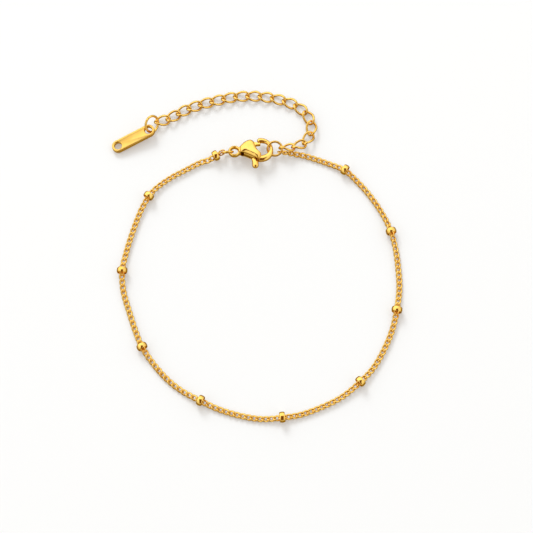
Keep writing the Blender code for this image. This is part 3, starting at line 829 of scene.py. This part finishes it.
def domed_body():
    """The clasp's body before its slot is cut: the outline, drawn in towards the top and the underside."""
    outline = [Vector((x, y, 0)) for x, y in rounded_outline(BODY_OUTLINE, OUTLINE_SAMPLES)]
    centre = in_clasp(BODY_CENTRE_SHARE)
    half = CLASP_THICKNESS / 2
    levels = []
    for k in range(DOME_LEVELS + 1):
        angle = math.pi / 2 * k / DOME_LEVELS
        share = max(math.cos(angle) ** DOME_FALL, DOME_LEAST)
        rise = DOME_RIM + (1 - DOME_RIM) * math.sin(angle) ** DOME_SWELL
        levels.append((share, rise))
    rows = [(s, -r) for s, r in reversed(levels)] + levels
    points = []
    for share, rise in rows:
        points += [centre + (p - centre) * share + Vector((0, 0, rise * half)) for p in outline]
    return outward_faces(mesh_from("domed_body", points, capped_faces(len(rows), len(outline))))


def swollen(count, swell, width, height):
    """The widths and heights at this many steps along an arm that swells like this."""
    shares = np.linspace(0, 1, count)
    widths = np.interp(shares, [r[0] for r in swell], [r[1] * width for r in swell])
    heights = np.interp(shares, [r[0] for r in swell], [r[2] * height for r in swell])
    return [float(w) for w in widths], [float(h) for h in heights]


def hook_form():
    centre = in_clasp(HOOK_CENTRE_SHARE)
    path = []
    for angle in np.linspace(HOOK_START, HOOK_END, HOOK_STEPS):
        across = Vector((HOOK_LENGTH * math.cos(angle), HOOK_WIDTH * math.sin(angle), 0))
        path.append(centre + across / 2)
    return arm("hook_form", path, *swollen(len(path), HOOK_SWELL, HOOK_BAR, HOOK_BAR))


def eye_form():
    rings = loop_rings(EYE_DIAMETER, EYE_DIAMETER, EYE_BAR, steps=EYE_STEPS, sides=EYE_SIDES)
    rings[:, :, 2] *= EYE_HEIGHT / EYE_BAR
    return outward_faces(mesh_from("eye_form", rings.reshape(-1, 3), tube_faces(EYE_STEPS, EYE_SIDES)))


def make_clasp_body(place, material):
    neck_path = [in_clasp((share, 0)) for share in np.linspace(*NECK_SHARES, NECK_STEPS)]
    neck_size = ([NECK_WIDTH] * NECK_STEPS, [NECK_HEIGHT] * NECK_STEPS)
    neck = arm("neck_form", neck_path, *neck_size, NECK_SQUARENESS)
    slot = plate("slot_form", rounded_outline(SLOT_OUTLINE, SLOT_SAMPLES), LEVER_THICKNESS + 2 * LEVER_PLAY)
    bore = rod("bore_form", PIN_DIAMETER + 2 * PIN_PLAY, PIN_LENGTH + 2 * PIN_PLAY, in_clasp(PIN_SHARE))
    form = combined(
        domed_body(),
        [
            (neck, "UNION"),
            (eye_form(), "UNION"),
            (hook_form(), "UNION"),
            (slot, "DIFFERENCE"),
            (bore, "DIFFERENCE"),
        ],
    )
    mesh = cast(form, CAST_VOXEL, CAST_SMOOTHING)
    mesh.transform(place)
    add_piece("clasp_body_cast", in_metres(mesh), material, ["clasp_body"])


def make_clasp_lever(place, material):
    path = smooth_curve([in_clasp(share) for share in NUB_PATH], OUTLINE_SAMPLES)
    nub = arm("nub_form", path, *swollen(len(path), NUB_SWELL, NUB_WIDTH, NUB_HEIGHT))
    bore = rod("bore_form", PIN_DIAMETER + 2 * PIN_PLAY, 2 * LEVER_THICKNESS, in_clasp(PIN_SHARE))
    outline = rounded_outline(LEVER_OUTLINE, LEVER_SAMPLES)
    lever = rounded_plate("lever_form", outline, LEVER_THICKNESS, LEVER_EDGE, LEVER_EDGE_LEVELS)
    form = combined(lever, [(nub, "UNION"), (bore, "DIFFERENCE")])
    mesh = cast(form, CAST_VOXEL, LEVER_SMOOTHING)
    mesh.transform(place)
    add_piece("clasp_lever_cast", in_metres(mesh), material, ["clasp_lever"], LEVER)


def make_tag(material):
    half = TAG_WIDTH / 2
    reach = (TAG_LENGTH - TAG_WIDTH) / 2
    outline = []
    for middle, begin in ((reach, -math.pi / 2), (-reach, math.pi / 2)):
        for k in range(TAG_END_STEPS + 1):
            angle = begin + math.pi * k / TAG_END_STEPS
            outline.append((middle + half * math.cos(angle), half * math.sin(angle)))
    holes = [rod("hole_form", TAG_HOLE, 2 * TAG_THICKNESS, (x, 0, 0)) for x in (reach, -reach)]
    flat = combined(plate("tag_form", outline, TAG_THICKNESS), [(hole, "DIFFERENCE") for hole in holes])
    item = temporary("tag_form", flat)
    edge = item.modifiers.new("soft edges", "BEVEL")
    edge.width = TAG_EDGE
    edge.segments = TAG_EDGE_STEPS
    edge.limit_method = "ANGLE"
    edge.angle_limit = TAG_EDGE_FROM
    mesh = evaluated_mesh(item)
    bpy.data.objects.remove(item)
    mesh.transform(node_frame("tag"))
    piece = add_piece("tag_stamped", in_metres(mesh), material, ["tag"])
    piece.data.set_sharp_from_angle(angle=TAG_SHARP_FROM)


def gold(name, roughness, rubbing):
    """Polished gold plating: its tone and gloss vary a little, with fine rubbing marks."""
    material = bpy.data.materials.new(name)
    material.use_nodes = True
    nodes = material.node_tree.nodes
    links = material.node_tree.links
    shader = nodes["Principled BSDF"]
    shader.inputs["Metallic"].default_value = 1.0
    place = nodes.new("ShaderNodeTexCoord")
    tone = nodes.new("ShaderNodeTexNoise")
    tone.inputs["Scale"].default_value = TONE_SCALE
    tone.inputs["Detail"].default_value = TONE_DETAIL
    tones = nodes.new("ShaderNodeValToRGB")
    for element, position, colour in zip(tones.color_ramp.elements, TONE_SPREAD, (DEEP_GOLD, WARM_GOLD)):
        element.position = position
        element.color = (*colour, 1.0)
    rub = nodes.new("ShaderNodeTexNoise")
    rub.inputs["Scale"].default_value = RUB_SCALE
    rub.inputs["Detail"].default_value = RUB_DETAIL
    gloss = nodes.new("ShaderNodeMapRange")
    for end, share in zip(("To Min", "To Max"), GLOSS_SPREAD):
        gloss.inputs[end].default_value = roughness * share
    bump = nodes.new("ShaderNodeBump")
    bump.inputs["Strength"].default_value = rubbing
    bump.inputs["Distance"].default_value = RUB_DEPTH
    for texture in (tone, rub):
        links.new(place.outputs["Object"], texture.inputs["Vector"])
    links.new(tone.outputs["Fac"], tones.inputs["Fac"])
    links.new(tones.outputs["Color"], shader.inputs["Base Color"])
    links.new(rub.outputs["Fac"], gloss.inputs["Value"])
    links.new(gloss.outputs["Result"], shader.inputs["Roughness"])
    links.new(rub.outputs["Fac"], bump.inputs["Height"])
    links.new(bump.outputs["Normal"], shader.inputs["Normal"])
    return material


def make_floor():
    """The plain pale surface. The metal mirrors what make_surroundings has below the horizon instead."""
    corners = [(x * FLOOR_HALF, y * FLOOR_HALF, 0) for x, y in ((-1, -1), (1, -1), (1, 1), (-1, 1))]
    mesh = mesh_from("floor", corners, [(0, 1, 2, 3)])
    floor = bpy.data.objects.new("floor", mesh)
    floor.visible_glossy = False
    bpy.context.scene.collection.objects.link(floor)
    material = bpy.data.materials.new("pale floor")
    material.use_nodes = True
    shader = material.node_tree.nodes["Principled BSDF"]
    shader.inputs["Base Color"].default_value = (*FLOOR_COLOUR, 1.0)
    shader.inputs["Emission Color"].default_value = (*FLOOR_GLOW_COLOUR, 1.0)
    shader.inputs["Emission Strength"].default_value = FLOOR_GLOW
    shader.inputs["Roughness"].default_value = FLOOR_ROUGHNESS
    shader.inputs["Specular IOR Level"].default_value = FLOOR_SPECULAR
    mesh.materials.append(material)


def ramp_between(nodes, links, value, low, high):
    """A smooth rise from 0 at low to 1 at high, or the other way round where low is above high."""
    ramp = nodes.new("ShaderNodeMapRange")
    ramp.interpolation_type = "SMOOTHSTEP"
    ramp.inputs["From Min"].default_value = min(low, high)
    ramp.inputs["From Max"].default_value = max(low, high)
    ramp.inputs["To Min"].default_value = 0.0 if low < high else 1.0
    ramp.inputs["To Max"].default_value = 1.0 if low < high else 0.0
    links.new(value, ramp.inputs["Value"])
    return ramp.outputs["Result"]


def times(nodes, links, first, second):
    product = nodes.new("ShaderNodeMath")
    product.operation = "MULTIPLY"
    for value, socket in zip((first, second), product.inputs):
        links.new(value, socket)
    return product.outputs["Value"]


def painted(nodes, links, share, under, over):
    """The colour under, fixed or from a socket, with the fixed colour over laid on it by this share."""
    mix = nodes.new("ShaderNodeMix")
    mix.data_type = "RGBA"
    links.new(share, mix.inputs["Factor"])
    if isinstance(under, tuple):
        mix.inputs[MIX_UNDER].default_value = (*under, 1.0)
    else:
        links.new(under, mix.inputs[MIX_UNDER])
    mix.inputs[MIX_OVER].default_value = (*over, 1.0)
    return mix.outputs[MIX_RESULT]


def make_surroundings():
    """A white room, brighter behind on the left, with the photographer as a dark shape in front, and a
    golden shade below the horizon, as metal close to a surface mirrors."""
    world = bpy.data.worlds.new("studio")
    bpy.context.scene.world = world
    world.use_nodes = True
    nodes = world.node_tree.nodes
    links = world.node_tree.links
    direction = nodes.new("ShaderNodeTexCoord").outputs["Generated"]
    parts = nodes.new("ShaderNodeSeparateXYZ")
    links.new(direction, parts.inputs["Vector"])
    towards_window = nodes.new("ShaderNodeVectorMath")
    towards_window.operation = "DOT_PRODUCT"
    towards_window.inputs[1].default_value = Vector(WINDOW_DIRECTION).normalized()
    links.new(direction, towards_window.inputs[0])
    aside = nodes.new("ShaderNodeMath")
    aside.operation = "ABSOLUTE"
    links.new(parts.outputs["X"], aside.inputs[0])
    height = ramp_between(nodes, links, parts.outputs["Z"], *ROOM_RISE)
    room = painted(nodes, links, height, ROOM_LOW, ROOM_HIGH)
    window = ramp_between(nodes, links, towards_window.outputs["Value"], *WINDOW_SPREAD)
    lit = painted(nodes, links, window, room, WINDOW_COLOUR)
    narrow = ramp_between(nodes, links, aside.outputs["Value"], *DARK_WIDTH)
    front = ramp_between(nodes, links, parts.outputs["Y"], *DARK_BACK)
    raised = ramp_between(nodes, links, parts.outputs["Z"], *DARK_FOOT)
    dark = times(nodes, links, times(nodes, links, narrow, front), raised)
    shaded = painted(nodes, links, dark, lit, DARK_COLOUR)
    below = ramp_between(nodes, links, parts.outputs["Z"], *BELOW_SPREAD)
    background = nodes["Background"]
    links.new(painted(nodes, links, below, shaded, BELOW_COLOUR), background.inputs["Color"])
    background.inputs["Strength"].default_value = ROOM_STRENGTH


def make_key_light():
    """The soft light whose shadows fall to the front and right. The metal reflects the room alone."""
    data = bpy.data.lights.new("key", "AREA")
    data.shape = "DISK"
    data.size = KEY_SIZE
    data.energy = KEY_ENERGY
    data.color = KEY_COLOUR
    light = bpy.data.objects.new("key", data)
    way = Vector(KEY_DIRECTION).normalized()
    light.location = CAMERA_TARGET_MM * MM + way * KEY_DISTANCE
    light.rotation_euler = (-way).to_track_quat("-Z", "Y").to_euler()
    light.visible_glossy = False
    bpy.context.scene.collection.objects.link(light)


def make_camera():
    """The photograph's view, down on the bracelet from the front."""
    data = bpy.data.cameras.new("camera")
    data.sensor_width = SENSOR_MM
    data.lens = SENSOR_MM * CAMERA_DISTANCE_MM / (PIXEL_MM * IMAGE_PIXELS)
    data.clip_start, data.clip_end = CAMERA_CLIP
    camera = bpy.data.objects.new("camera", data)
    back = Vector((0, -math.cos(CAMERA_ELEVATION), math.sin(CAMERA_ELEVATION)))
    camera.location = (CAMERA_TARGET_MM + back * CAMERA_DISTANCE_MM) * MM
    camera.rotation_euler = (-back).to_track_quat("-Z", "Y").to_euler()
    bpy.context.scene.collection.objects.link(camera)
    bpy.context.scene.camera = camera


def main():
    bpy.context.scene.view_settings.view_transform = "Standard"
    make_camera()
    make_floor()
    make_surroundings()
    make_key_light()
    golds = {name: gold(name, *finish) for name, finish in FINISHES.items()}
    make_fine_chain(golds["chain gold"])
    make_beads(golds["bead gold"])
    make_links(golds["wire gold"])
    make_rings(golds["wire gold"])
    place = clasp_place()
    make_clasp_body(place, golds["polished gold"])
    make_clasp_lever(place, golds["lever gold"])
    make_tag(golds["tag gold"])
    pin = frame["nodes"]["clasp_pin"]
    pin.data.materials.clear()
    pin.data.materials.append(golds["lever gold"])


main()
